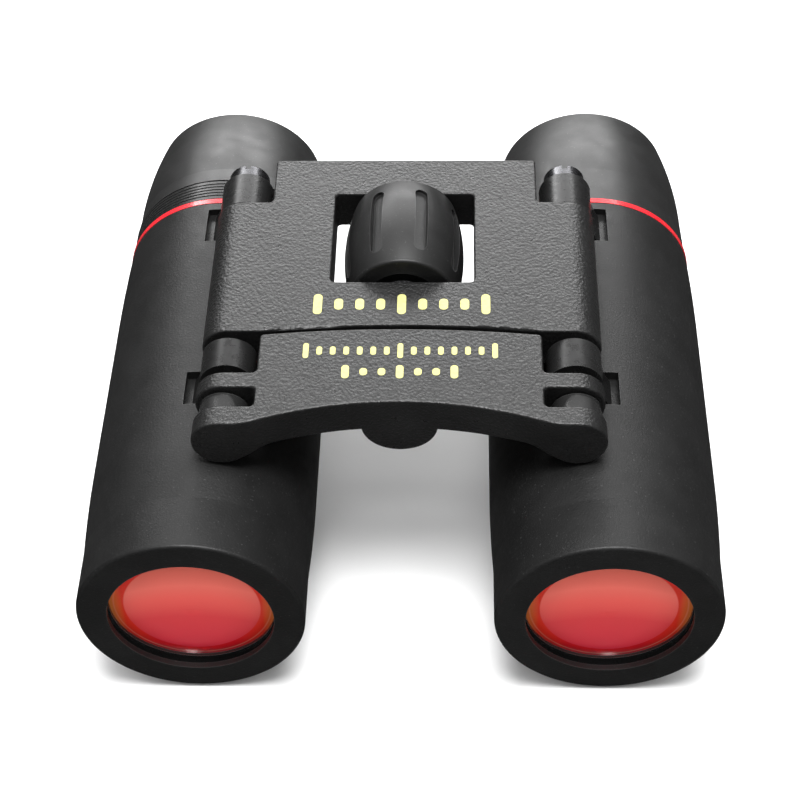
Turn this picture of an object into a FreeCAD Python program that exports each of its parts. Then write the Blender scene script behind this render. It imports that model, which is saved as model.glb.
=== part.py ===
import FreeCAD, Part
import math
import os
import re
import Sketcher

# Folding compact roof-prism binoculars, in millimetres.
# X runs across the two barrels, Y along the optical axes (objectives at -Y, eyepieces at +Y), Z up.
# The origin is on the resting surface, under the middle of the whole. Right and left are the
# user's: the right barrel is at -X. Every piece is drawn with Y = 0 at the objective face and
# Z = 0 at the height of the barrel axes, and is then placed as a whole. The sleeves rest on a
# narrow flat along their undersides, no deeper than a moulding line.

Vector = FreeCAD.Vector

# Driving sizes. A name ending in _back is a distance forward of the accent ring.
SIZES = {
    # barrels
    "barrel_spacing": 60.08,
    "body_length": 71.3,
    "armour_radius": 16.95,
    "face_step": 0.45,
    "tail_step": 0.4,
    "face_band": 9.0,
    "face_ease": 14.0,
    "tail_ease": 16.0,
    "armour_wall": 1.55,
    "rest_flat": 0.05,
    "lip_depth": 0.9,
    "lip_overlap": 1.86,
    "edge_round": 0.5,
    "tube_wall": 1.5,
    # accent ring, diopter ring and eyecup
    "ring_width": 1.0,
    "ring_proud": 0.07,
    "diopter_width": 4.4,
    "diopter_gap": 0.3,
    "diopter_step": 0.13,
    "rib_count": 5,
    "rib_pitch": 0.7,
    "rib_depth": 0.12,
    "rib_width": 0.3,
    "ring_ease": 0.1,
    "eyecup_length": 25.0,
    "eyecup_step": 0.19,
    "waist_step": 0.24,
    "mouth_step": 1.97,
    "eyecup_taper": 17.0,
    "eyecup_depth": 10.3,
    "eyecup_wall": 2.0,
    "mouth_round": 0.35,
    # hinges
    "hinge_inset": 4.84,
    "hinge_stand": 4.11,
    "knuckle_radius": 4.07,
    "shaft_radius": 1.5,
    "running_gap": 0.03,
    "head_radius": 3.25,
    "head_length": 2.7,
    "slot_width": 0.9,
    "slot_depth": 1.1,
    "washer_radius": 2.9,
    "washer_thickness": 0.4,
    "shaft_front_back": 55.1,
    # lugs of the barrel tube
    "rear_lug_back": 2.1,
    "rear_lug_width": 6.8,
    "front_lug_back": 38.8,
    "front_lug_width": 5.5,
    "lug_toe": 1.3,
    "lug_heel": 2.1,
    "lug_root": 0.6,
    "lug_sweep": 9.0,
    "notch_gap": 0.5,
    "notch_margin": 0.7,
    # main bridge
    "bridge_tail": 0.6,
    "pocket_gap": 0.63,
    "wing_radius": 4.2,
    "wing_lift": 0.4,
    "flank_angle": 27.0,
    "knee_round": 4.5,
    "main_underside": 6.5,
    "main_front_back": 36.6,
    "bridge_bow": 1.2,
    "rear_pocket_back": 9.4,
    "window_gap": 1.44,
    "window_front_back": 27.4,
    "plate_thickness": 2.8,
    "rib_wall": 1.7,
    "bridge_round": 0.35,
    "corner_round": 0.7,
    "main_hub": 4.5,
    # front bridge
    "bridge_gap": 0.7,
    "front_edge_back": 51.9,
    "lobe_back": 56.2,
    "lobe_width": 3.5,
    "arc_inset": 3.2,
    "arc_round": 10.0,
    "fork_gap": 3.7,
    "finger_width": 2.9,
    "front_underside": 5.7,
    "front_hub": 5.5,
    # focus train
    "focus_travel": 1.0,
    "wheel_length": 18.4,
    "wheel_start": 0.7,
    "wheel_radius": 9.31,
    "wheel_crown": 1.2,
    "wheel_round": 0.5,
    "wheel_recess": 5.5,
    "recess_depth": 1.2,
    "groove_count": 8,
    "groove_width": 1.95,
    "groove_length": 13.4,
    "groove_depth": 1.3,
    "groove_turn": 18.0,
    "screw_radius": 1.8,
    "screw_gap": 0.05,
    "screw_front_back": 47.5,
    "journal_depth": 4.5,
    "nut_radius": 3.1,
    "nut_front_back": 49.0,
    "nut_rear_back": 39.6,
    "thrust_radius": 4.2,
    "thrust_gap": 0.1,
    # objective
    "cell_gap": 0.04,
    "cell_start": 0.2,
    "cell_lip": 0.5,
    "cell_wall": 1.4,
    "cell_tail": 2.4,
    "arm_gap": 0.3,
    "arm_half_width": 1.6,
    "arm_knuckle": 3.6,
    "lens_sag": 1.0,
    "cement_curve": 50.0,
    "crown_thickness": 4.6,
    "flint_thickness": 1.8,
    "retainer_length": 2.0,
    "retainer_wall": 1.8,
    # prisms
    "cage_front_back": 42.3,
    "cage_length": 17.6,
    "prism_aperture": 9.4,
    "prism_air_gap": 0.5,
    "prism_fit": 0.05,
    "cage_end": 1.4,
    "cage_window": 4.4,
    "roof_land": 0.5,
    "clip_thickness": 0.6,
    # eyepiece
    "housing_insert": 5.0,
    "housing_step": 1.55,
    "eye_bore": 9.2,
    "eye_cell_front_back": 4.8,
    "eye_cell_wall": 1.5,
    "eye_cell_lip": 0.8,
    "stop_thickness": 0.8,
    "stop_opening": 6.0,
    "field_thickness": 2.6,
    "field_curve": 24.0,
    "spacer_length": 4.4,
    "spacer_wall": 0.9,
    "eye_thickness": 4.2,
    "eye_curve": 17.0,
    "eye_retainer": 1.4,
}

# Lengths that follow from the driving sizes, written in their names.
DERIVED = {
    "whole_length": "body_length + ring_width + eyecup_length",
    "tube_radius": "armour_radius - armour_wall",
    "tube_bore": "tube_radius - tube_wall",
    "face_radius": "armour_radius - face_step",
    "tail_radius": "armour_radius - tail_step",
    "aperture_radius": "tube_bore - lip_overlap",
    "diopter_radius": "tail_radius - diopter_step",
    "eyecup_radius": "tail_radius - eyecup_step",
    "eyecup_waist": "eyecup_radius - waist_step",
    "eyecup_mouth": "eyecup_waist - mouth_step",
    "housing_radius": "tail_radius - housing_step",
    "ring_end": "body_length + ring_width",
    "hinge_reach": "armour_radius + hinge_stand",
    "hinge_height": "sqrt(hinge_reach^2 - hinge_inset^2)",
    "hinge_offset": "barrel_spacing / 2 - hinge_inset",
    "bore_radius": "shaft_radius + running_gap",
    "rear_lug_end": "body_length - rear_lug_back",
    "rear_lug_start": "rear_lug_end - rear_lug_width",
    "front_lug_end": "body_length - front_lug_back",
    "front_lug_start": "front_lug_end - front_lug_width",
    "wing_height": "hinge_height + wing_lift",
    "bridge_top": "wing_height + wing_radius",
    "bridge_end": "body_length + bridge_tail",
    "main_front": "body_length - main_front_back",
    "window_front": "body_length - window_front_back",
    "window_rear": "wheel_to + wheel_start",
    "window_half_width": "wheel_radius + window_gap",
    "bridge_half_width": "hinge_offset - knuckle_radius - pocket_gap",
    "arc_half_width": "hinge_offset - arc_inset",
    "lobe_front": "body_length - lobe_back",
    "fork_front": "lobe_front + lobe_width",
    "fork_rear": "fork_front + fork_gap",
    "finger_rear": "fork_rear + finger_width",
    "front_bridge_end": "main_front - bridge_gap",
    "wheel_from": "window_front + wheel_start",
    "wheel_to": "wheel_from + wheel_length",
    "wheel_front": "wheel_radius - wheel_crown",
    "cell_radius": "tube_bore - cell_gap",
    "cell_front": "lip_depth + focus_travel + cell_start",
    "lens_seat": "cell_front + cell_lip",
    "lens_radius": "cell_radius - cell_wall",
    "crown_vertex": "lens_seat - lens_sag",
    "cement_vertex": "crown_vertex + crown_thickness",
    "cement_edge": "cement_vertex - cement_curve + sqrt(cement_curve^2 - lens_radius^2)",
    "flint_back": "cement_vertex + flint_thickness",
    "arm_front": "fork_front + arm_gap",
    "arm_rear": "fork_rear - arm_gap",
    "cage_front": "body_length - cage_front_back",
    "prism_start": "cage_front + cage_end + prism_aperture * 0.2",
    "prism_depth": "prism_aperture + prism_air_gap * sqrt(2)",
    "prism_reach": "prism_aperture * (1 + sqrt(2) / 2)",
    "eye_cell_front": "body_length - eye_cell_front_back",
    "eye_radius": "eye_bore - cell_gap - eye_cell_wall",
    "stop_front": "eye_cell_front + eye_cell_lip",
    "field_front": "stop_front + stop_thickness + field_sag",
    "field_sag": "field_curve - sqrt(field_curve^2 - eye_radius^2)",
    "field_rear": "field_front + field_thickness",
    "eye_sag": "eye_curve - sqrt(eye_curve^2 - eye_radius^2)",
    "eye_front": "field_rear + spacer_length",
    "eye_rear": "eye_front + eye_thickness",
    "housing_end": "whole_length - eyecup_depth",
}

document = FreeCAD.newDocument("Binoculars")
sheet = document.addObject("Spreadsheet::Sheet", "Sizes")
for row, (alias, value) in enumerate(SIZES.items(), start=1):
    sheet.set(f"A{row}", str(value))
    sheet.setAlias(f"A{row}", alias)
document.recompute()


def bound(text):
    """Write a formula of size names as an expression that reads the sheet."""

    def swap(match):
        word = match.group(0)
        if word in DERIVED:
            return f"({bound(DERIVED[word])})"
        if word in SIZES:
            return f"Sizes.{word}"
        return word

    return re.sub(r"[a-z][a-z_]+", swap, str(text))


def number(text):
    """Work a formula out to a number."""
    return float(sheet.evalExpression(bound(text)))


def mirrored(outline, side):
    """An outline drawn for the +X side, on the side given as 1 or -1."""
    return [(f"{side} * ({point[0]})", point[1], *[f"{side} * ({bend})" for bend in point[2:]])
            for point in outline]


def box_outline(low_x, high_x, low_y, high_y):
    return [(low_x, low_y), (high_x, low_y), (high_x, high_y), (low_x, high_y)]


class Piece:
    """One sub-part: a body whose sketches and features are bound to the sheet."""

    def __init__(self, label, across="0", up="0"):
        self.body = document.addObject("PartDesign::Body", label)
        self.body.Label = label
        place = {"x": across, "y": "-(whole_length) / 2", "z": f"armour_radius - rest_flat + {up}"}
        for axis, text in place.items():
            self.body.setExpression(f".Placement.Base.{axis}", bound(text))
        self.steps = 0

    def plane(self, role):
        return [part for part in self.body.Origin.OriginFeatures if part.Role == role][0]

    def sketch(self, role, outlines, circles=(), offset="0"):
        """Closed outlines and circles on one origin plane.

        A point is (x, y) or (x, y, bend). Bend is the radius of the arc that arrives at the
        point, positive when it bulges to the left of its way there.
        """
        self.steps += 1
        sketch = self.body.newObject("Sketcher::SketchObject", f"Sketch{self.steps}")
        sketch.AttachmentSupport = [(self.plane(role), "")]
        sketch.MapMode = "FlatFace"
        sketch.setExpression(".AttachmentOffset.Base.z", bound(offset))
        for outline in outlines:
            self.draw(sketch, outline)
        for x, y, radius in circles:
            circle = Part.Circle(Vector(number(x), number(y), 0), Vector(0, 0, 1), number(radius))
            index = sketch.addGeometry(circle, False)
            self.pin(sketch, index, 3, x, y)
            self.bind(sketch, Sketcher.Constraint("Radius", index, number(radius)), radius)
        return sketch

    def bind(self, sketch, constraint, text):
        index = sketch.addConstraint(constraint)
        sketch.setExpression(f".Constraints[{index}]", bound(text))

    def pin(self, sketch, index, end, x, y):
        """Hold one point of the sketch at a place given by two formulas."""
        for kind, text, axis in (("DistanceX", x, -2), ("DistanceY", y, -1)):
            if str(text) == "0":
                sketch.addConstraint(Sketcher.Constraint("PointOnObject", index, end, axis))
            else:
                value = number(text)
                self.bind(sketch, Sketcher.Constraint(kind, -1, 1, index, end, value), text)

    def draw(self, sketch, outline):
        places = [Vector(number(point[0]), number(point[1]), 0) for point in outline]
        ends = []
        for count, place in enumerate(places):
            following = (count + 1) % len(places)
            target = places[following]
            if len(outline[following]) == 2:
                index = sketch.addGeometry(Part.LineSegment(place, target), False)
                ends.append((index, 1, 2))
                continue
            bend = outline[following][2]
            radius = number(bend)
            chord = target - place
            rise = abs(radius) - math.sqrt(max(radius ** 2 - chord.Length ** 2 / 4, 0))
            left = Vector(-chord.y, chord.x, 0).normalize()
            middle = (place + target) * 0.5 + left * math.copysign(rise, radius)
            index = sketch.addGeometry(Part.Arc(place, middle, target), False)
            forward = sketch.getPoint(index, 1).distanceToPoint(place) < 1e-6
            ends.append((index, 1, 2) if forward else (index, 2, 1))
            self.bind(sketch, Sketcher.Constraint("Radius", index, abs(radius)), f"abs({bend})")
        for count, (index, start, _) in enumerate(ends):
            before, _, end = ends[count - 1]
            sketch.addConstraint(Sketcher.Constraint("Coincident", before, end, index, start))
            self.pin(sketch, index, start, outline[count][0], outline[count][1])

    def feature(self, kind, profile, **settings):
        """Add a feature and make sure that it changed the body the way its kind should."""
        before = self.body.Shape.Volume if self.body.Tip else 0.0
        made = self.body.newObject(f"PartDesign::{kind}", f"{kind}{self.steps}")
        made.Profile = profile
        for name, value in settings.items():
            setattr(made, name, value)
        return made, before

    def settle(self, made, before, adds=None):
        document.recompute()
        change = made.Shape.Volume - before
        wrong_way = adds is not None and (change > 0) != adds
        if wrong_way or abs(change) < 1e-6:
            raise RuntimeError(f"{self.body.Label}: {made.Label} changed the volume by {change:.4f}")
        return made

    def turn(self, outline, cut=False):
        """Turn an outline of (radius, station) about the body's Y axis."""
        profile = self.sketch("XY_Plane", [outline])
        kind = "Groove" if cut else "Revolution"
        made, before = self.feature(kind, profile, ReferenceAxis=(profile, ["V_Axis"]), Angle=360)
        return self.settle(made, before, not cut)

    def extrude(self, outlines, start, end, circles=(), cut=False):
        """Pad or pocket a cross-section from one station to another along Y."""
        profile = self.sketch("XZ_Plane", outlines, circles, f"-({start})")
        kind = "Pocket" if cut else "Pad"
        made, before = self.feature(kind, profile, Reversed=not cut)
        made.setExpression("Length", bound(f"{end} - ({start})"))
        return self.settle(made, before, not cut)

    def cut_plan(self, outlines, low="0", high=None, circles=()):
        """Pocket a plan-view outline from one height upward, right through or up to another."""
        profile = self.sketch("XY_Plane", outlines, circles, low)
        made, before = self.feature("Pocket", profile, Reversed=True)
        if high is None:
            made.Type = "ThroughAll"
        else:
            made.setExpression("Length", bound(f"{high} - ({low})"))
        return self.settle(made, before, False)

    def dress(self, kind, size, chosen):
        """Round or bevel the edges that a test picks."""
        base = self.body.Tip
        names = [f"Edge{count}" for count, edge in enumerate(base.Shape.Edges, start=1) if chosen(edge)]
        if not names:
            raise RuntimeError(f"{self.body.Label}: no edge to dress")
        before = self.body.Shape.Volume
        made = self.body.newObject(f"PartDesign::{kind}", f"{kind}{self.steps}")
        made.Base = (base, names)
        made.setExpression("Radius" if kind == "Fillet" else "Size", bound(size))
        return self.settle(made, before)


def barrel_piece(name, side, suffix):
    """A piece drawn about a barrel's axis."""
    return Piece(f"{name}_{suffix}", across=f"{side} * barrel_spacing / 2")


def ease(rise, run):
    """Radius of the arc that leaves a straight line and drifts off by a small rise."""
    return f"(({run})^2 + ({rise})^2) / (2 * ({rise}))"


# ---------------------------------------------------------------- barrels

def make_armour(side, suffix):
    """The rubber sleeve: a straight middle that eases in towards both ends."""
    piece = barrel_piece("armour", side, suffix)
    front_rise = "armour_radius - face_radius"
    rear_rise = "armour_radius - tail_radius"
    piece.turn([
        ("aperture_radius", "0"),
        ("face_radius - edge_round", "0"),
        ("face_radius", "edge_round", "-(edge_round)"),
        ("face_radius", "face_band"),
        ("armour_radius", "face_band + face_ease", f"-({ease(front_rise, 'face_ease')})"),
        ("armour_radius", "body_length - tail_ease"),
        ("tail_radius", "body_length", f"-({ease(rear_rise, 'tail_ease')})"),
        ("tube_radius", "body_length"),
        ("tube_radius", "lip_depth"),
        ("aperture_radius", "lip_depth"),
    ])
    heel = "-(hinge_inset + lug_heel + notch_margin)"
    toe = "lug_toe + notch_margin"
    spans = [("front_lug_start - notch_gap", "front_lug_end + notch_gap"),
             ("rear_lug_start - notch_gap", "rear_lug_end + notch_gap")]
    for start, end in spans:
        piece.cut_plan([mirrored(box_outline(heel, toe, start, end), side)])
    cut_arm_slot(piece, side)
    under = box_outline("-(armour_radius)", "armour_radius", "-(armour_radius + 1)",
                        "-(armour_radius - rest_flat)")
    piece.extrude([under], "0", "body_length", cut=True)
    return piece


def arm_outline(side, inner, outer, half_width):
    """A bar that runs out from the barrel axis towards the hinge axis."""
    corners = []
    for reach, offset in ((inner, f"-({half_width})"), (inner, half_width),
                          (outer, half_width), (outer, f"-({half_width})")):
        across = f"-(hinge_inset) * ({reach}) / hinge_reach + hinge_height * ({offset}) / hinge_reach"
        up = f"hinge_height * ({reach}) / hinge_reach + hinge_inset * ({offset}) / hinge_reach"
        corners.append((across, up))
    return mirrored(corners, side)


def cut_arm_slot(piece, side):
    """The slot that lets the focus arm out of the barrel, long enough for its travel."""
    bar = arm_outline(side, "tube_bore / 2", "armour_radius + 1", "arm_half_width + arm_gap")
    piece.extrude([bar], "arm_front - focus_travel - arm_gap", "arm_rear + arm_gap", cut=True)


def make_barrel_tube(side, suffix):
    """The moulded tube that carries everything in a barrel, with its two hinge lugs."""
    piece = barrel_piece("barrel_tube", side, suffix)
    piece.turn([("0", "lip_depth"), ("tube_radius", "lip_depth"),
                ("tube_radius", "body_length"), ("0", "body_length")])
    drop = "sqrt(knuckle_radius^2 - lug_heel^2)"
    lug = mirrored([
        ("lug_toe", "tube_radius - lug_root"),
        ("-(hinge_inset) + knuckle_radius", "hinge_height", "lug_sweep"),
        ("-(hinge_inset)", "hinge_height + knuckle_radius", "-(knuckle_radius)"),
        ("-(hinge_inset + knuckle_radius)", "hinge_height", "-(knuckle_radius)"),
        ("-(hinge_inset + lug_heel)", f"hinge_height - {drop}", "-(knuckle_radius)"),
        ("-(hinge_inset + lug_heel)", "tube_bore * 0.9"),
    ], side)
    piece.extrude([lug], "front_lug_start", "front_lug_end")
    piece.extrude([lug], "rear_lug_start", "rear_lug_end")
    piece.turn([("0", "lip_depth"), ("tube_bore", "lip_depth"),
                ("tube_bore", "body_length"), ("0", "body_length")], cut=True)
    shaft_hole = (f"-({side}) * hinge_inset", "hinge_height", "bore_radius")
    piece.extrude([], "front_lug_start - 1", "rear_lug_end + 1", [shaft_hole], cut=True)
    cut_arm_slot(piece, side)
    return piece


def make_accent_ring(side, suffix):
    piece = barrel_piece("accent_ring", side, suffix)
    crest = "tail_radius + ring_proud"
    piece.turn([("housing_radius", "body_length"), (crest, "body_length"),
                (crest, "ring_end"), ("housing_radius", "ring_end")])
    return piece


def make_diopter_ring(side, suffix):
    """The turning ring of the right eyepiece, with fine grooves round its rim."""
    piece = barrel_piece("diopter_ring", side, suffix)
    start = "ring_end + diopter_gap"
    end = f"{start} + diopter_width"
    piece.turn([("housing_radius + cell_gap", start), ("diopter_radius - ring_ease", start),
                ("diopter_radius", f"{start} + ring_ease"), ("diopter_radius", f"{end} - ring_ease"),
                ("diopter_radius - ring_ease", end), ("housing_radius + cell_gap", end)])
    first = f"{start} + (diopter_width - (rib_count - 1) * rib_pitch - rib_width) / 2"
    for count in range(round(number("rib_count"))):
        near = f"{first} + {count} * rib_pitch"
        far = f"{near} + rib_width"
        floor = "diopter_radius - rib_depth"
        piece.turn([(floor, near), ("diopter_radius + 1", near), ("diopter_radius + 1", far),
                    (floor, far)], cut=True)
    return piece


def repeat_round(piece, feature, count):
    """Repeat a cut round the body's Y axis."""
    before = piece.body.Shape.Volume
    pattern = piece.body.newObject("PartDesign::PolarPattern", "Round")
    pattern.Originals = [feature]
    pattern.Axis = (piece.plane("Y_Axis"), [""])
    pattern.Angle = 360
    pattern.setExpression("Occurrences", bound(count))
    piece.body.Tip = pattern
    piece.settle(pattern, before, False)


def make_eyecup(side, suffix, start):
    """The rubber eyecup: a straight shoulder that curves in to an open mouth."""
    piece = barrel_piece("eyecup", side, suffix)
    waist_at = "whole_length - eyecup_taper"
    curve_run = "eyecup_taper - mouth_round"
    curve_rise = "eyecup_waist - eyecup_mouth"
    cup_floor = "eyecup_mouth - eyecup_wall + 0.5"
    piece.turn([
        ("housing_radius", start),
        ("eyecup_radius", start),
        ("eyecup_waist", waist_at, "-400"),
        ("eyecup_mouth", "whole_length - mouth_round", f"-({ease(curve_rise, curve_run)})"),
        ("eyecup_mouth - mouth_round", "whole_length", "-(mouth_round)"),
        ("eyecup_mouth - eyecup_wall", "whole_length"),
        (cup_floor, "housing_end"),
        ("housing_radius", "housing_end"),
    ])
    return piece


# ---------------------------------------------------------------- objective

def make_objective_cell(side, suffix):
    """The sliding lens cell, with the arm that reaches up into the front bridge's fork."""
    piece = barrel_piece("objective_cell", side, suffix)
    piece.turn([("0", "cell_front"), ("cell_radius", "cell_front"),
                ("cell_radius", "arm_rear + cell_tail"), ("0", "arm_rear + cell_tail")])
    arm = arm_outline(side, "cell_radius - 1", "hinge_reach", "arm_half_width")
    eye = (f"-({side}) * hinge_inset", "hinge_height", "arm_knuckle")
    piece.extrude([arm], "arm_front", "arm_rear")
    piece.extrude([], "arm_front", "arm_rear", [eye])
    piece.turn([("0", "cell_front"), ("aperture_radius", "cell_front"),
                ("aperture_radius", "lens_seat"), ("lens_radius", "lens_seat"),
                ("lens_radius", "arm_rear + cell_tail"), ("0", "arm_rear + cell_tail")], cut=True)
    shaft_hole = (f"-({side}) * hinge_inset", "hinge_height", "bore_radius")
    piece.extrude([], "arm_front - 1", "arm_rear + 1", [shaft_hole], cut=True)
    return piece


def make_crown_lens(side, suffix):
    piece = barrel_piece("objective_crown_lens", side, suffix)
    front_curve = ease("lens_sag", "aperture_radius")
    piece.turn([("0", "crown_vertex"), ("aperture_radius", "lens_seat", f"-({front_curve})"),
                ("lens_radius", "lens_seat"), ("lens_radius", "cement_edge"),
                ("0", "cement_vertex", "-(cement_curve)")])
    return piece


def make_flint_lens(side, suffix):
    piece = barrel_piece("objective_flint_lens", side, suffix)
    piece.turn([("0", "cement_vertex"), ("lens_radius", "cement_edge", "cement_curve"),
                ("lens_radius", "flint_back"), ("0", "flint_back")])
    return piece


def make_objective_retainer(side, suffix):
    """The threaded ring behind the lenses, with two notches for a spanner."""
    piece = barrel_piece("objective_retainer", side, suffix)
    end = "flint_back + retainer_length"
    inner = "lens_radius - retainer_wall"
    piece.turn([(inner, "flint_back"), ("lens_radius", "flint_back"),
                ("lens_radius", end), (inner, end)])
    notch = [("-(lens_radius)", "-0.5"), ("lens_radius", "-0.5"),
             ("lens_radius", "0.5"), ("-(lens_radius)", "0.5")]
    piece.extrude([notch], "flint_back + retainer_length / 2", end, cut=True)
    return piece


# ---------------------------------------------------------------- prisms

def make_prism_cage(side, suffix):
    """The round carrier of both prisms, open behind and with a round window in front."""
    piece = barrel_piece("prism_cage", side, suffix)
    end = "cage_front + cage_length"
    piece.turn([("0", "cage_front"), ("tube_bore", "cage_front"), ("tube_bore", end), ("0", end)])
    half = "prism_aperture / 2 + prism_fit"
    tall = "prism_reach * 0.75"
    chamber = box_outline(f"-({half})", half, f"-({tall})", tall)
    piece.extrude([chamber], "cage_front + cage_end", end, cut=True)
    window = ("0", "0", "cage_window")
    piece.extrude([], "cage_front", "cage_front + cage_end", [window], cut=True)
    return piece


def prism(name, side, suffix, outline):
    """A prism with its outline in the plane of the light path, as wide as the aperture."""
    piece = barrel_piece(name, side, suffix)
    profile = piece.sketch("YZ_Plane", [outline])
    made, before = piece.feature("Pad", profile, Midplane=True)
    made.setExpression("Length", bound("prism_aperture"))
    piece.settle(made, before, True)
    return piece


def make_half_penta_prism(side, suffix):
    """The first prism: entrance face square to the axis, and a gap face at 45 degrees."""
    return prism("half_penta_prism", side, suffix, [
        ("prism_start", "-(prism_aperture) / 2"),
        ("prism_start + prism_aperture * 1.3", "-(prism_aperture) / 2 - prism_aperture * 1.3 * tan(22.5)"),
        ("prism_start + prism_aperture * 1.3", "prism_aperture / 2 - prism_aperture * 1.3"),
        ("prism_start", "prism_aperture / 2"),
    ])


def make_roof_prism(side, suffix):
    """The second prism: its gap face is parallel to the first one's, its roof is on top."""
    piece = prism("roof_prism", side, suffix, [
        ("prism_start + prism_depth", "-(prism_aperture) / 2"),
        ("prism_start + prism_depth", "-(prism_aperture) / 2 + prism_aperture * 1.6"),
        ("prism_start + prism_depth - prism_aperture * 1.6 / sqrt(2)",
         "-(prism_aperture) / 2 + prism_aperture * 1.6 / sqrt(2)"),
    ])
    ridge = number("-(prism_aperture) / 2 + prism_aperture * 1.6 / sqrt(2)")

    def on_roof(edge):
        return edge.BoundBox.XLength < 1e-6 and edge.BoundBox.ZMin > ridge - 1e-6

    piece.dress("Chamfer", "prism_aperture / 2 - roof_land", on_roof)
    return piece


def make_prism_clip(side, suffix):
    """The sprung plate behind the prisms, with a round window."""
    piece = barrel_piece("prism_clip", side, suffix)
    start = "cage_front + cage_length"
    end = f"{start} + clip_thickness"
    piece.turn([("cage_window", start), ("tube_bore - 1", start), ("tube_bore - 1", end),
                ("cage_window", end)])
    return piece


# ---------------------------------------------------------------- eyepiece

def make_eyepiece_housing(side, suffix):
    """The fixed tube of the eyepiece, spigoted into the barrel tube."""
    piece = barrel_piece("eyepiece_housing", side, suffix)
    start = "body_length - housing_insert"
    piece.turn([("eye_bore", start), ("tube_bore", start), ("tube_bore", "body_length"),
                ("housing_radius", "body_length"), ("housing_radius", "housing_end"),
                ("eye_bore", "housing_end")])
    return piece


def make_eyepiece_cell(side, suffix):
    piece = barrel_piece("eyepiece_cell", side, suffix)
    outer = "eye_bore - cell_gap"
    end = "eye_rear + eye_retainer + eye_sag"
    piece.turn([("stop_opening", "eye_cell_front"), (outer, "eye_cell_front"), (outer, end),
                ("eye_radius", end), ("eye_radius", "stop_front"), ("stop_opening", "stop_front")])
    return piece


def make_field_stop(side, suffix):
    piece = barrel_piece("field_stop", side, suffix)
    end = "stop_front + stop_thickness"
    piece.turn([("stop_opening", "stop_front"), ("eye_radius", "stop_front"),
                ("eye_radius", end), ("stop_opening", end)])
    return piece


def make_field_lens(side, suffix):
    """Plano-convex, its curved face forward. The flat edge is as far back as the sag."""
    piece = barrel_piece("field_lens", side, suffix)
    piece.turn([("0", "field_front - field_sag"), ("eye_radius", "field_front", "-(field_curve)"),
                ("eye_radius", "field_rear"), ("0", "field_rear")])
    return piece


def make_lens_spacer(side, suffix):
    piece = barrel_piece("lens_spacer", side, suffix)
    inner = "eye_radius - spacer_wall"
    piece.turn([(inner, "field_rear"), ("eye_radius", "field_rear"),
                ("eye_radius", "eye_front"), (inner, "eye_front")])
    return piece


def make_eye_lens(side, suffix):
    """Plano-convex, its curved face towards the eye."""
    piece = barrel_piece("eye_lens", side, suffix)
    piece.turn([("0", "eye_front"), ("eye_radius", "eye_front"), ("eye_radius", "eye_rear"),
                ("0", "eye_rear + eye_sag", "-(eye_curve)")])
    return piece


def make_eyepiece_retainer(side, suffix):
    piece = barrel_piece("eyepiece_retainer", side, suffix)
    inner = "eye_radius - 0.8"
    start = "eye_rear + eye_sag"
    end = f"{start} + eye_retainer"
    piece.turn([(inner, start), ("eye_radius", start), ("eye_radius", end), (inner, end)])
    return piece


# ---------------------------------------------------------------- bridges

def bridge_outline(underside, hub):
    """Cross-section of a bridge: flat top, rolled wings, sloping flanks and a central hub."""
    belly = f"bridge_top - ({underside})"
    foot_x = "hinge_offset - wing_radius * sin(flank_angle)"
    foot_z = "wing_height - wing_radius * cos(flank_angle)"
    knee_x = f"{foot_x} - ({belly} - ({foot_z})) / tan(flank_angle)"
    hub_x = f"sqrt(({hub})^2 - (hinge_height - ({belly}))^2)"
    ease_off = "knee_round * tan(flank_angle / 2)"
    return [
        ("hinge_offset", "bridge_top"),
        ("hinge_offset + wing_radius", "wing_height", "wing_radius"),
        (foot_x, foot_z, "wing_radius"),
        (f"{knee_x} + {ease_off} * cos(flank_angle)", f"{belly} - {ease_off} * sin(flank_angle)"),
        (f"{knee_x} - {ease_off}", belly, "-(knee_round)"),
        (hub_x, belly),
        ("0", f"hinge_height - ({hub})", hub),
    ]


def whole_bridge(right):
    """Close a +X half outline with its mirror image, walked back the other way."""
    left = [(f"-({here[0]})", here[1], *after[2:])
            for here, after in zip(right[-2::-1], right[:0:-1])]
    return right + left


def round_bridge(piece):
    """Round the upright corners of the plan, then the rim of the flat top and the rolled wings."""
    top = number("bridge_top")
    seam = number("hinge_offset")

    def upright(edge):
        box = edge.BoundBox
        return box.XLength < 1e-6 and box.YLength < 1e-6 and box.ZMax > top - 1e-6

    def rim(edge):
        box = edge.BoundBox
        on_seam = box.XLength < 1e-6 and abs(abs(box.XMin) - seam) < 1e-6
        return box.ZMin > top - 1e-6 and not on_seam

    piece.dress("Fillet", "corner_round", upright)
    piece.dress("Fillet", "bridge_round", rim)


def bowed_cut(station, bow, half_width):
    """Plan outline that hollows a front edge back by a bow over its width."""
    return [(f"-({half_width})", station, f"-({ease(bow, half_width)})"),
            (f"-({half_width})", f"{station} - 1"),
            (half_width, f"{station} - 1"),
            (half_width, station)]


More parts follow.
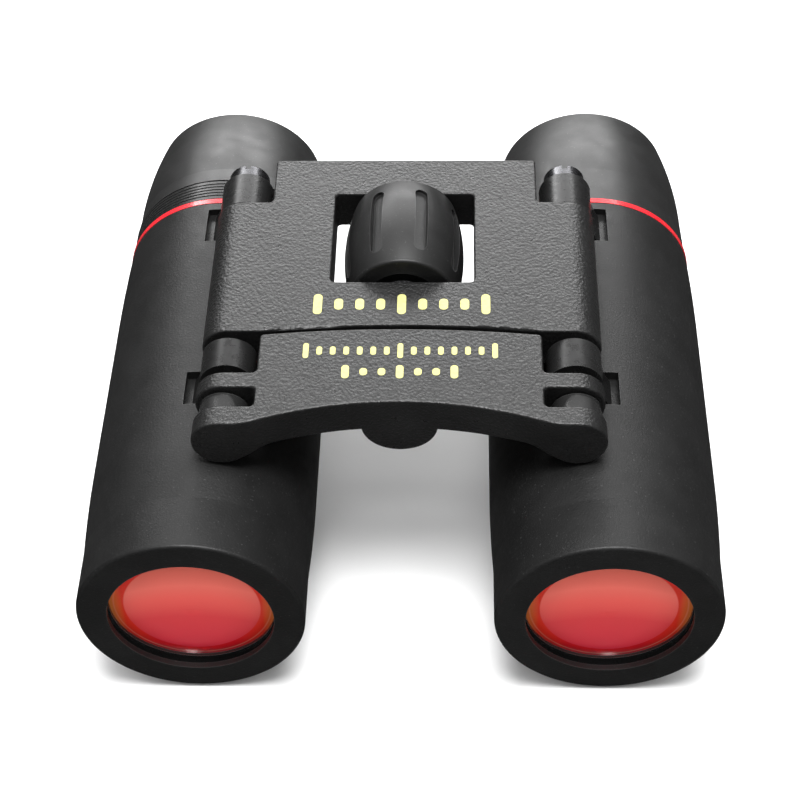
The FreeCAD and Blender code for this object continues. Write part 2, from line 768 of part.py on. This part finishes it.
def make_main_bridge():
    """The fixed bridge: a ribbed plate with the wheel's window, rolled over both hinge shafts."""
    piece = Piece("main_bridge")
    side_front = "main_front - bridge_bow"
    profile = whole_bridge(bridge_outline("main_underside", "main_hub"))
    piece.extrude([profile], side_front, "bridge_end")
    wide = "hinge_offset + wing_radius + 1"
    piece.cut_plan([bowed_cut(side_front, "bridge_bow", "bridge_half_width")])
    for side in (1, -1):
        corner = box_outline("bridge_half_width", wide, "body_length - rear_pocket_back",
                             "bridge_end + 1")
        piece.cut_plan([mirrored(corner, side)])
    window = box_outline("-(window_half_width)", "window_half_width", "window_front", "window_rear")
    piece.cut_plan([window])
    round_bridge(piece)
    front_pocket = "main_front + rib_wall"
    inner = "window_half_width + rib_wall"
    outer = "bridge_half_width - rib_wall"
    ceiling = "bridge_top - plate_thickness"
    pockets = [box_outline(inner, outer, front_pocket, "bridge_end - rib_wall")]
    for side in (1, -1):
        piece.cut_plan([mirrored(outline, side) for outline in pockets], high=ceiling)
    journal = ("0", "hinge_height", "screw_radius + screw_gap")
    piece.extrude([], side_front, "window_rear + journal_depth", [journal], cut=True)
    shafts = [(f"{side} * hinge_offset", "hinge_height", "shaft_radius") for side in (1, -1)]
    piece.extrude([], side_front, "body_length - rear_pocket_back", shafts, cut=True)
    return piece


def make_front_bridge():
    """The sliding bridge: forked over the lugs and the focus arms, driven by the screw."""
    piece = Piece("front_bridge")
    profile = whole_bridge(bridge_outline("front_underside", "front_hub"))
    piece.extrude([profile], "lobe_front", "front_bridge_end")
    wide = "hinge_offset + wing_radius + 1"
    front_bow = "body_length - front_edge_back - lobe_front"
    piece.cut_plan([bowed_cut("lobe_front", front_bow, "arc_half_width")])
    side_end = "front_bridge_end - bridge_bow"
    rear = ease("bridge_bow", "bridge_half_width")
    piece.cut_plan([[("-(bridge_half_width)", side_end),
                     ("bridge_half_width", side_end, rear),
                     ("bridge_half_width", "front_bridge_end + 1"),
                     ("-(bridge_half_width)", "front_bridge_end + 1")]])
    for side in (1, -1):
        lug_space = box_outline("bridge_half_width", wide, "finger_rear", "front_bridge_end + 1")
        fork = box_outline("bridge_half_width", wide, "fork_front", "fork_rear")
        piece.cut_plan([mirrored(lug_space, side)])
        piece.cut_plan([mirrored(fork, side)])
    arc_end = Vector(number("arc_half_width"), number("lobe_front"), 0)

    def at_arc_end(edge):
        box = edge.BoundBox
        there = Vector(abs(box.XMin), box.YMin, 0).distanceToPoint(arc_end) < 1e-6
        return there and box.XLength < 1e-6 and box.YLength < 1e-6

    piece.dress("Fillet", "arc_round", at_arc_end)
    round_bridge(piece)
    for side in (1, -1):
        hollow = box_outline("front_hub + rib_wall", "bridge_half_width - rib_wall",
                             "fork_rear", f"{side_end} - rib_wall")
        piece.cut_plan([mirrored(hollow, side)], high="bridge_top - plate_thickness")
    shafts = [(f"{side} * hinge_offset", "hinge_height", "bore_radius") for side in (1, -1)]
    piece.extrude([], "body_length - shaft_front_back - 0.2", "finger_rear", shafts, cut=True)
    nut = ("0", "hinge_height", "nut_radius")
    piece.extrude([], "body_length - nut_front_back", "front_bridge_end", [nut], cut=True)
    return piece


# ---------------------------------------------------------------- focus train

def focus_piece(name):
    """A piece drawn about the focus screw's axis."""
    return Piece(name, up="hinge_height")


def make_focus_wheel():
    """The crowned thumb wheel, with rounded grooves and a dished front end."""
    piece = focus_piece("focus_wheel")
    crown = f"-({ease('wheel_crown', 'wheel_length / 2')})"
    piece.turn([
        ("screw_radius", "wheel_from + recess_depth"),
        ("wheel_recess", "wheel_from + recess_depth"),
        ("wheel_recess", "wheel_from"),
        ("wheel_front - wheel_round", "wheel_from"),
        ("wheel_front", "wheel_from + wheel_round", "-(wheel_round)"),
        ("wheel_front", "wheel_to - wheel_round", crown),
        ("wheel_front - wheel_round", "wheel_to", "-(wheel_round)"),
        ("screw_radius", "wheel_to"),
    ])
    half = "groove_width / 2"
    middle = "(wheel_from + wheel_to) / 2"
    straight = "(groove_length - groove_width) / 2"
    groove = [
        (f"-({half})", f"{middle} - {straight}"),
        ("0", f"{middle} - groove_length / 2", f"-({half})"),
        (half, f"{middle} - {straight}", f"-({half})"),
        (half, f"{middle} + {straight}"),
        ("0", f"{middle} + groove_length / 2", f"-({half})"),
        (f"-({half})", f"{middle} + {straight}", f"-({half})"),
    ]
    first = piece.cut_plan([groove], "wheel_radius - groove_depth")
    repeat_round(piece, first, "groove_count")
    piece.body.Placement.Rotation = FreeCAD.Rotation(Vector(0, 1, 0), 1)
    piece.body.setExpression(".Placement.Rotation.Angle", bound("groove_turn"))
    return piece


def make_focus_screw():
    piece = focus_piece("focus_screw")
    start = "body_length - screw_front_back"
    end = "window_rear + journal_depth - 0.3"
    piece.turn([("0", start), ("screw_radius", start), ("screw_radius", end), ("0", end)])
    return piece


def make_focus_nut():
    piece = focus_piece("focus_nut")
    inner = "screw_radius + screw_gap"
    start = "body_length - nut_front_back"
    end = "body_length - nut_rear_back"
    piece.turn([(inner, start), ("nut_radius", start), ("nut_radius", end), (inner, end)])
    return piece


def make_thrust_washer(name, start, end):
    piece = focus_piece(name)
    piece.turn([("screw_radius + screw_gap", start), ("thrust_radius", start),
                ("thrust_radius", end), ("screw_radius + screw_gap", end)])
    return piece


# ---------------------------------------------------------------- hinges

def hinge_piece(name, side, suffix):
    """A piece drawn about a hinge axis."""
    return Piece(f"{name}_{suffix}", across=f"{side} * hinge_offset", up="hinge_height")


def make_hinge_shaft(side, suffix):
    """The shaft that both bridges and the lugs turn on, with a slotted head behind."""
    piece = hinge_piece("hinge_shaft", side, suffix)
    start = "body_length - shaft_front_back"
    head = "rear_lug_end + washer_thickness + thrust_gap"
    end = f"{head} + head_length"
    piece.turn([("0", start), ("shaft_radius", start), ("shaft_radius", head), ("head_radius", head),
                ("head_radius", f"{end} - edge_round"),
                ("head_radius - edge_round", end, "-(edge_round)"), ("0", end)])
    slot = box_outline("-(slot_width) / 2", "slot_width / 2", "-(head_radius) - 1", "head_radius + 1")
    piece.extrude([slot], f"{end} - slot_depth", f"{end} + 1", cut=True)
    return piece


def make_hinge_washer(side, suffix):
    piece = hinge_piece("hinge_washer", side, suffix)
    start = "rear_lug_end + thrust_gap"
    end = f"{start} + washer_thickness"
    piece.turn([("bore_radius", start), ("washer_radius", start), ("washer_radius", end),
                ("bore_radius", end)])
    return piece


# ---------------------------------------------------------------- assembly

pieces = [make_main_bridge(), make_front_bridge(), make_focus_wheel(), make_focus_screw(),
          make_focus_nut(),
          make_thrust_washer("thrust_washer_front", "window_front + thrust_gap",
                             "wheel_from - thrust_gap"),
          make_thrust_washer("thrust_washer_rear", "wheel_to + thrust_gap",
                             "window_rear - thrust_gap")]
barrel_makers = [make_armour, make_barrel_tube, make_accent_ring, make_objective_cell, make_crown_lens,
                 make_flint_lens, make_objective_retainer, make_prism_cage, make_half_penta_prism,
                 make_roof_prism, make_prism_clip, make_eyepiece_housing, make_eyepiece_cell,
                 make_field_stop, make_field_lens, make_lens_spacer, make_eye_lens,
                 make_eyepiece_retainer, make_hinge_shaft, make_hinge_washer]
for side, suffix in ((-1, "right"), (1, "left")):
    pieces += [make(side, suffix) for make in barrel_makers]
pieces.append(make_diopter_ring(-1, "right"))
pieces.append(make_eyecup(-1, "right", "ring_end + diopter_width + diopter_gap * 2"))
pieces.append(make_eyecup(1, "left", "ring_end"))

document.recompute()
for item in document.Objects:
    if "Invalid" in item.State or "Error" in item.State:
        raise RuntimeError(f"{item.Label} failed: {item.State}")

os.makedirs("parts", exist_ok=True)
for piece in pieces:
    shape = piece.body.Shape
    if shape.isNull() or not shape.isValid() or len(shape.Solids) != 1:
        raise RuntimeError(f"{piece.body.Label} is not one valid solid")
for piece in pieces:
    piece.body.Shape.exportStep(f"parts/{piece.body.Label}.step")
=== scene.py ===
import math

import bmesh
import bpy
from mathutils import Matrix, Vector


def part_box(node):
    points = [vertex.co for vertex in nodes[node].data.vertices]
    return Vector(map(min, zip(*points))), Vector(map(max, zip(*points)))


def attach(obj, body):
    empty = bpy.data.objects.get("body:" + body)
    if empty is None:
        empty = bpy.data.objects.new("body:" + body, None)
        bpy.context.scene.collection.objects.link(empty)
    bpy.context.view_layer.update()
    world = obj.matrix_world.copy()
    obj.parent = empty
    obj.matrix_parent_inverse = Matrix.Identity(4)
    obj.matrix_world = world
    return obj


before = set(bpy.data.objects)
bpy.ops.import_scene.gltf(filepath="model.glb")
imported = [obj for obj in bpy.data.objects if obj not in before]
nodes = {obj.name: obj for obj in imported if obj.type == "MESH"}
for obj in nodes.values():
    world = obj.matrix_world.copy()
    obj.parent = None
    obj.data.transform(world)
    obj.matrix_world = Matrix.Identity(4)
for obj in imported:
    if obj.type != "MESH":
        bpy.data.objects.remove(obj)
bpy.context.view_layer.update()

# Folding compact binoculars in metres: objectives towards -Y, eyepieces towards +Y, +Z up.

MM = 0.001
scene = bpy.context.scene


# ---------------------------------------------------------------- camera

CAMERA_PLACE = Vector((8.27, -215.28, 242.14)) * MM
CAMERA_TILT = math.radians(47.02)
CAMERA_YAW = math.radians(-2.49)
CAMERA_ROLL = math.radians(-1.72)
CAMERA_LENS = 87.5


def make_camera():
    """A long lens that looks down on the objective end."""
    data = bpy.data.cameras.new("camera")
    data.sensor_width = 36.0
    data.lens = CAMERA_LENS
    data.clip_start = 10 * MM
    camera = bpy.data.objects.new("camera", data)
    scene.collection.objects.link(camera)
    level = math.cos(CAMERA_TILT)
    ahead = Vector((math.sin(CAMERA_YAW) * level, math.cos(CAMERA_YAW) * level, -math.sin(CAMERA_TILT)))
    across = Vector((math.cos(CAMERA_YAW), -math.sin(CAMERA_YAW), 0))
    above = across.cross(ahead)
    roll = Matrix.Rotation(-CAMERA_ROLL, 3, ahead)
    turned = Matrix((roll @ across, roll @ above, -ahead)).transposed()
    camera.matrix_world = Matrix.Translation(CAMERA_PLACE) @ turned.to_4x4()
    scene.camera = camera


# ---------------------------------------------------------------- material tools

class Look:
    """A principled material whose nodes are added step by step."""

    def __init__(self, name, roughness, **settings):
        self.material = bpy.data.materials.new(name)
        self.material.use_nodes = True
        self.tree = self.material.node_tree
        self.shader = self.tree.nodes["Principled BSDF"]
        self.shader.inputs["Roughness"].default_value = roughness
        for socket, value in settings.items():
            self.shader.inputs[socket.replace("_", " ")].default_value = value
        self.place = self.tree.nodes.new("ShaderNodeTexCoord").outputs["Object"]
        self.height = None

    def add(self, kind, **settings):
        node = self.tree.nodes.new(f"ShaderNode{kind}")
        for name, value in settings.items():
            setattr(node, name, value)
        return node

    def link(self, source, target):
        self.tree.links.new(source, target)

    def noise(self, scale, detail=3.0, rough=0.5, stretch=None):
        """Noise with a cell size in millimetres, drawn out along an axis if asked."""
        node = self.add("TexNoise")
        node.inputs["Scale"].default_value = 1 / (scale * MM)
        node.inputs["Detail"].default_value = detail
        node.inputs["Roughness"].default_value = rough
        place = self.place
        if stretch:
            mapping = self.add("Mapping")
            mapping.inputs["Scale"].default_value = stretch
            self.link(place, mapping.inputs["Vector"])
            place = mapping.outputs["Vector"]
        self.link(place, node.inputs["Vector"])
        return node.outputs["Fac"]

    def cells(self, scale):
        """Rounded pebbles with a cell size in millimetres."""
        node = self.add("TexVoronoi", feature="SMOOTH_F1")
        node.inputs["Scale"].default_value = 1 / (scale * MM)
        self.link(self.place, node.inputs["Vector"])
        return node.outputs["Distance"]

    def ramp(self, source, low, high, first, last):
        """Map a factor from low..high to two colours or two greys."""
        node = self.add("ValToRGB")
        node.color_ramp.elements[0].position = low
        node.color_ramp.elements[1].position = high
        node.color_ramp.elements[0].color = colour(first)
        node.color_ramp.elements[1].color = colour(last)
        self.link(source, node.inputs["Fac"])
        return node.outputs["Color"]

    def bands(self, source, stops):
        """Map a factor to several colours, given as (place, colour) pairs in order."""
        node = self.add("ValToRGB")
        for place, _ in stops[1:-1]:
            node.color_ramp.elements.new(place)
        for element, (place, shade) in zip(node.color_ramp.elements, stops):
            element.position = place
            element.color = colour(shade)
        self.link(source, node.inputs["Fac"])
        return node.outputs["Color"]

    def maths(self, operation, *values):
        """One sum on numbers, or on sockets that carry numbers."""
        node = self.add("Math", operation=operation)
        for value, socket in zip(values, node.inputs):
            if isinstance(value, bpy.types.NodeSocket):
                self.link(value, socket)
            else:
                socket.default_value = value
        return node.outputs["Value"]

    def edge_wear_and_highlight(self, width):
        """A factor that is 1 on edges sharper than the given width in millimetres, for paler edges that
        are partly wear and partly a painted edge highlight.
        """
        bevel = self.add("Bevel", samples=6)
        bevel.inputs["Radius"].default_value = width * MM
        geometry = self.add("NewGeometry")
        dot = self.add("VectorMath", operation="DOT_PRODUCT")
        self.link(bevel.outputs["Normal"], dot.inputs[0])
        self.link(geometry.outputs["Normal"], dot.inputs[1])
        return self.ramp(dot.outputs["Value"], 0.86, 0.985, 1.0, 0.0)

    def mix(self, factor, first, last):
        """Blend two colours, or sockets that carry colours, by a factor."""
        node = self.add("Mix", data_type="RGBA")
        self.link(factor, node.inputs["Factor"])
        for value, socket in ((first, node.inputs["A"]), (last, node.inputs["B"])):
            if isinstance(value, bpy.types.NodeSocket):
                self.link(value, socket)
            else:
                socket.default_value = colour(value)
        return node.outputs["Result"]

    def paint(self, source):
        """Give the surface its colour."""
        self.link(source, self.shader.inputs["Base Color"])

    def gloss(self, source, low, high):
        """Let a factor move the roughness between two values."""
        self.link(self.ramp(source, 0.3, 0.7, low, high), self.shader.inputs["Roughness"])

    def bump(self, source, depth, strength=1.0):
        """Raise the surface by a factor, to a depth in millimetres. Calls add up."""
        node = self.add("Bump")
        node.inputs["Strength"].default_value = strength
        node.inputs["Distance"].default_value = depth * MM
        self.link(source, node.inputs["Height"])
        if self.height:
            self.link(self.height, node.inputs["Normal"])
        self.height = node.outputs["Normal"]
        self.link(self.height, self.shader.inputs["Normal"])

    def wear(self, node):
        """Put this material on a CAD node."""
        slots = nodes[node].data.materials
        slots.clear()
        slots.append(self.material)


def colour(value):
    """A grey or a colour, with full opacity."""
    if isinstance(value, (int, float)):
        return (value, value, value, 1.0)
    return (*value, 1.0)


# ---------------------------------------------------------------- materials

EDGE_WIDTH = 0.2
# How much paler the rubber's specks and edges are; on the edges this is partly rubbed wear and partly a
# painted edge highlight.
PALE_SPECK_WEAR_AND_HIGHLIGHT = 4.0


def rubber(name, shade, grain, depth, roughness, specular):
    """Black moulded rubber: a fine grain, a few light specks and paler edges, partly rubbed wear and
    partly a painted edge highlight.
    """
    look = Look(name, roughness[0], Specular_IOR_Level=specular)
    dark = look.ramp(look.noise(9.0, 4.0), 0.35, 0.7, shade * 0.85, shade * 1.15)
    specks = look.ramp(look.noise(0.3, 1.0), 0.70, 0.76, 0.0, 1.0)
    dusty = look.mix(specks, dark, shade * PALE_SPECK_WEAR_AND_HIGHLIGHT)
    # Paler edges: partly rubbed wear, partly a painted edge highlight.
    look.paint(look.mix(look.edge_wear_and_highlight(EDGE_WIDTH), dusty, shade * PALE_SPECK_WEAR_AND_HIGHLIGHT))
    look.gloss(look.noise(3.0, 3.0), *roughness)
    look.bump(look.cells(grain), depth)
    look.bump(look.noise(grain * 0.5, 2.0), depth * 0.6)
    return look


def moulded(name, shade, grain, depth, roughness, specular, wear=3.0):
    """Black plastic with a leather-like moulded grain and a lighter line along its edges, partly wear
    and partly a painted edge highlight.
    """
    look = Look(name, roughness[0], Specular_IOR_Level=specular)
    dark = look.ramp(look.noise(7.0, 3.0), 0.35, 0.7, shade * 0.85, shade * 1.2)
    # The wear factor sets how pale the edges are: partly wear, partly a painted edge highlight.
    look.paint(look.mix(look.edge_wear_and_highlight(EDGE_WIDTH), dark, shade * wear))
    look.gloss(look.noise(1.2, 3.0), *roughness)
    look.bump(look.cells(grain), depth)
    look.bump(look.noise(grain * 0.45, 3.0, 0.6), depth * 0.6)
    return look


def enamel():
    """The accent ring's glossy red, with a soft orange-peel surface."""
    look = Look("red_enamel", 0.22, Coat_Weight=0.5, Coat_Roughness=0.08)
    look.paint(look.ramp(look.noise(4.0), 0.3, 0.7, (0.62, 0.012, 0.02), (0.74, 0.02, 0.03)))
    look.bump(look.noise(0.5, 1.0), 0.004)
    return look


def steel(name, shade, roughness, turned=True):
    """Metal with fine turning lines round its axis and small scratches."""
    look = Look(name, roughness[0], Metallic=1.0)
    look.paint(look.ramp(look.noise(2.5), 0.3, 0.7, shade, tuple(c * 1.3 for c in shade)))
    look.gloss(look.noise(0.6, 3.0), *roughness)
    if turned:
        look.bump(look.noise(0.12, 2.0, 0.5, (0.02, 1.0, 0.02)), 0.006)
    look.bump(look.noise(0.4, 2.0), 0.004)
    return look


# As shares of the lens's radius, for the painted reflection on the lens: where the deeper red rim band
# starts, its soft edge, and how far the pale painted reflection curves down towards the sides.
RUBY_PAINTED_RIM_START = 0.79
RUBY_EDGE = 0.012
RUBY_DOME = 0.18


def ruby_with_painted_reflection():
    """The front lens: a glossy ruby coating whose colour carries a painted reflection, paler high up
    and deeper red outside its middle.
    """
    look = Look("ruby_with_painted_reflection", 0.10, Metallic=0.15, Coat_Weight=1.0, Coat_Roughness=0.02)
    low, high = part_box("objective_crown_lens_left")
    radius = (high.x - low.x) / 2
    middle = (low + high) / 2
    split = look.add("SeparateXYZ")
    look.link(look.place, split.inputs["Vector"])
    sideways = look.maths("ABSOLUTE", split.outputs["X"])
    across = look.maths("DIVIDE", look.maths("SUBTRACT", sideways, middle.x), radius)
    upward = look.maths("DIVIDE", look.maths("SUBTRACT", split.outputs["Z"], middle.z), radius)
    across_squared = look.maths("MULTIPLY", across, across)
    upward_squared = look.maths("MULTIPLY", upward, upward)
    away = look.maths("SQRT", look.maths("ADD", across_squared, upward_squared))
    level = look.maths("MULTIPLY_ADD", upward, 0.5, 0.5)
    domed = look.maths("ADD", level, look.maths("MULTIPLY", across_squared, RUBY_DOME))
    # The red is the coating's own; these bands are painted reflection: salmon high up, raspberry lower,
    # brownish at the very top.
    clear = look.bands(domed, ((0.10, (0.60, 0.030, 0.052)), (0.44, (0.60, 0.046, 0.052)),
                               (0.62, (0.76, 0.110, 0.090)), (0.72, (0.80, 0.155, 0.12)),
                               (0.90, (0.52, 0.10, 0.07))))
    # Painted reflection: deeper red towards the rim and orange at the far left and right.
    rim = look.bands(look.maths("ABSOLUTE", across), ((0.45, (0.55, 0.010, 0.016)),
                                                      (0.80, (0.64, 0.030, 0.014)),
                                                      (0.95, (0.62, 0.170, 0.040))))
    outside = look.ramp(away, RUBY_PAINTED_RIM_START, RUBY_PAINTED_RIM_START + RUBY_EDGE, 0.0, 1.0)
    film = look.mix(outside, clear, rim)
    # A thin orange ring near the edge, a painted reflection line.
    line = look.bands(away, ((0.90, 0.0), (0.915, 0.35), (0.93, 0.0)))
    look.paint(look.mix(line, film, (0.85, 0.30, 0.20)))
    look.gloss(look.noise(2.0, 2.0), 0.08, 0.14)
    return look


def clear_glass():
    """Polished glass with a faint film of unevenness in its gloss."""
    look = Look("clear_glass", 0.02, Transmission_Weight=1.0, IOR=1.52)
    look.shader.inputs["Base Color"].default_value = colour((0.9, 0.95, 0.93))
    look.gloss(look.noise(6.0), 0.015, 0.03)
    return look


def print_ink():
    """The pale yellow of the printed marks, a little uneven like screen print."""
    look = Look("print_ink", 0.5)
    look.paint(look.ramp(look.noise(0.6), 0.3, 0.7, (0.46, 0.44, 0.15), (0.54, 0.52, 0.20)))
    look.bump(look.noise(0.2), 0.01)
    return look


LOOKS = {
    "armour": rubber("armour_rubber", 0.009, 0.30, 0.020, (0.40, 0.50), 0.27),
    "eyecup": rubber("eyecup_rubber", 0.011, 0.22, 0.005, (0.38, 0.48), 0.50),
    "wheel": rubber("wheel_rubber", 0.009, 0.2, 0.006, (0.36, 0.46), 0.34),
    # The bridges' factor of 8.0 makes their pale edges a strong painted edge highlight.
    "bridge": moulded("bridge_plastic", 0.010, 0.42, 0.08, (0.27, 0.38), 0.42, 8.0),
    "plastic": moulded("satin_plastic", 0.009, 0.4, 0.006, (0.24, 0.34), 0.40),
    "inner": moulded("inner_plastic", 0.008, 0.4, 0.01, (0.5, 0.6), 0.2),
    "cell": moulded("cell_plastic", 0.016, 0.4, 0.006, (0.12, 0.2), 0.9),
    "enamel": enamel(),
    "ruby": ruby_with_painted_reflection(),
    "glass": clear_glass(),
    "anodised": steel("black_anodised", (0.03, 0.03, 0.032), (0.3, 0.42)),
    "screw": steel("blackened_steel", (0.09, 0.09, 0.095), (0.2, 0.34)),
    "spring": steel("spring_steel", (0.5, 0.5, 0.52), (0.2, 0.3), False),
    "brass": steel("turned_brass", (0.62, 0.45, 0.17), (0.22, 0.34)),
    "ink": print_ink(),
}
WEARS = {
    "armour": "armour", "eyecup": "eyecup", "focus_wheel": "wheel", "main_bridge": "bridge",
    "front_bridge": "bridge", "barrel_tube": "plastic", "diopter_ring": "plastic",
    "objective_cell": "cell", "prism_cage": "inner", "eyepiece_housing": "plastic",
    "eyepiece_cell": "plastic", "accent_ring": "enamel", "objective_crown_lens": "ruby",
    "objective_flint_lens": "glass", "half_penta_prism": "glass", "roof_prism": "glass",
    "field_lens": "glass", "eye_lens": "glass", "objective_retainer": "anodised",
    "field_stop": "anodised", "lens_spacer": "anodised", "eyepiece_retainer": "anodised",
    "hinge_shaft": "screw", "hinge_washer": "spring", "focus_screw": "screw",
    "prism_clip": "spring", "thrust_washer": "spring", "focus_nut": "brass",
}


def dress_nodes():
    """Give each node the finish of its family, whichever side or end it is on."""
    for node in nodes:
        family = node.removesuffix("_right").removesuffix("_left")
        family = family.removesuffix("_front").removesuffix("_rear")
        LOOKS[WEARS[family]].wear(node)


# ---------------------------------------------------------------- printed marks

INK_THICKNESS = 0.05
INK_SINK = 0.02
CORNER_STEPS = 5
BAR_WIDTH = 0.42
BAR_ROUND = 0.2
SHORT_BAR = 0.55
MAIN_ROW_IN = 5.5 * MM
FRONT_ROW_IN = 4.6 * MM
ROW_GAP = 4.2 * MM


def ink_bar(mesh, x, y, z, width, length, round_off):
    """A flat printed bar with rounded ends, in a mesh of several."""
    low, high = z - INK_SINK * MM, z + (INK_THICKNESS - INK_SINK) * MM
    outline = []
    for corner in range(4):
        cx = x + (width / 2 - round_off) * (1, -1, -1, 1)[corner]
        cy = y + (length / 2 - round_off) * (1, 1, -1, -1)[corner]
        for step in range(CORNER_STEPS + 1):
            angle = math.pi / 2 * (corner + step / CORNER_STEPS)
            outline.append((cx + round_off * math.cos(angle), cy + round_off * math.sin(angle)))
    bottom = [mesh.verts.new((px, py, low)) for px, py in outline]
    top = [mesh.verts.new((px, py, high)) for px, py in outline]
    mesh.faces.new(top)
    mesh.faces.new(bottom[::-1])
    for here in range(len(outline)):
        after = (here + 1) % len(outline)
        mesh.faces.new((bottom[here], bottom[after], top[after], top[here]))


def print_row(name, body, centre, count, pitch, length, tall_every):
    """A row of plain scale marks: short bars, with a taller one at even steps."""
    mesh = bmesh.new()
    x, y, z = centre
    for index in range(count):
        offset = (index - (count - 1) / 2) * pitch
        share = 1.0 if index % tall_every == 0 else SHORT_BAR
        ink_bar(mesh, x + offset, y, z, pitch * BAR_WIDTH, length * share, pitch * BAR_ROUND)
    data = bpy.data.meshes.new(name)
    mesh.to_mesh(data)
    mesh.free()
    row = bpy.data.objects.new(name, data)
    scene.collection.objects.link(row)
    row.data.materials.append(LOOKS["ink"].material)
    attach(row, body)


def print_marks():
    """Three rows of plain marks: one on the main bridge and two on the front bridge."""
    main_low, main_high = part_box("main_bridge")
    front_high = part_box("front_bridge")[1]
    main_row = main_low.y + MAIN_ROW_IN
    print_row("scale_marks_main", "bridge", (0, main_row, main_high.z),
              count=9, pitch=3.1 * MM, length=4.2 * MM, tall_every=4)
    front_row = front_high.y - FRONT_ROW_IN
    print_row("scale_marks_front", "front_bridge", (0, front_row, front_high.z),
              count=15, pitch=1.95 * MM, length=3.0 * MM, tall_every=7)
    print_row("scale_dots_front", "front_bridge",
              (0, front_row - ROW_GAP, front_high.z),
              count=7, pitch=2.6 * MM, length=2.6 * MM, tall_every=3)


# ---------------------------------------------------------------- floor and lights

FLOOR_SIZE = 8
AIM_HEIGHT = 25 * MM
SKY_LOW = 0.06
SKY_HIGH = 0.9


def make_floor():
    """A pale floor, left out of mirror-like reflections so that the black sides stay dark."""
    bpy.ops.mesh.primitive_plane_add(size=FLOOR_SIZE)
    floor = bpy.context.object
    floor.name = "floor"
    floor.visible_glossy = False
    look = Look("pale_floor", 0.9)
    look.paint(look.ramp(look.noise(400.0), 0.3, 0.7, 0.90, 0.93))
    floor.data.materials.append(look.material)


def make_world():
    """A dim horizon under a bright dome, as a light tent open at the top."""
    world = bpy.data.worlds.new("world")
    world.use_nodes = True
    scene.world = world
    tree = world.node_tree
    direction = tree.nodes.new("ShaderNodeTexCoord").outputs["Generated"]
    split = tree.nodes.new("ShaderNodeSeparateXYZ")
    tree.links.new(direction, split.inputs["Vector"])
    dome = tree.nodes.new("ShaderNodeValToRGB")
    dome.color_ramp.elements[0].position = 0.15
    dome.color_ramp.elements[0].color = colour(SKY_LOW)
    dome.color_ramp.elements[1].position = 0.85
    dome.color_ramp.elements[1].color = colour(SKY_HIGH)
    tree.links.new(split.outputs["Z"], dome.inputs["Fac"])
    tree.links.new(dome.outputs["Color"], tree.nodes["Background"].inputs["Color"])


def soft_box(name, place, size, power):
    """A large area light that looks at the middle of the object."""
    data = bpy.data.lights.new(name, "AREA")
    data.shape = "RECTANGLE"
    data.size, data.size_y = size[0] * MM, size[1] * MM
    data.energy = power
    lamp = bpy.data.objects.new(name, data)
    scene.collection.objects.link(lamp)
    lamp.location = Vector(place) * MM
    aim = Vector((0, 0, AIM_HEIGHT)) - lamp.location
    lamp.rotation_euler = aim.to_track_quat("-Z", "Y").to_euler()


make_camera()
dress_nodes()
print_marks()
make_floor()
make_world()
soft_box("behind", (-40, 620, 345), (700, 240), 4.6)
soft_box("overhead", (40, -60, 900), (500, 500), 14)
scene.view_settings.view_transform = "Standard"
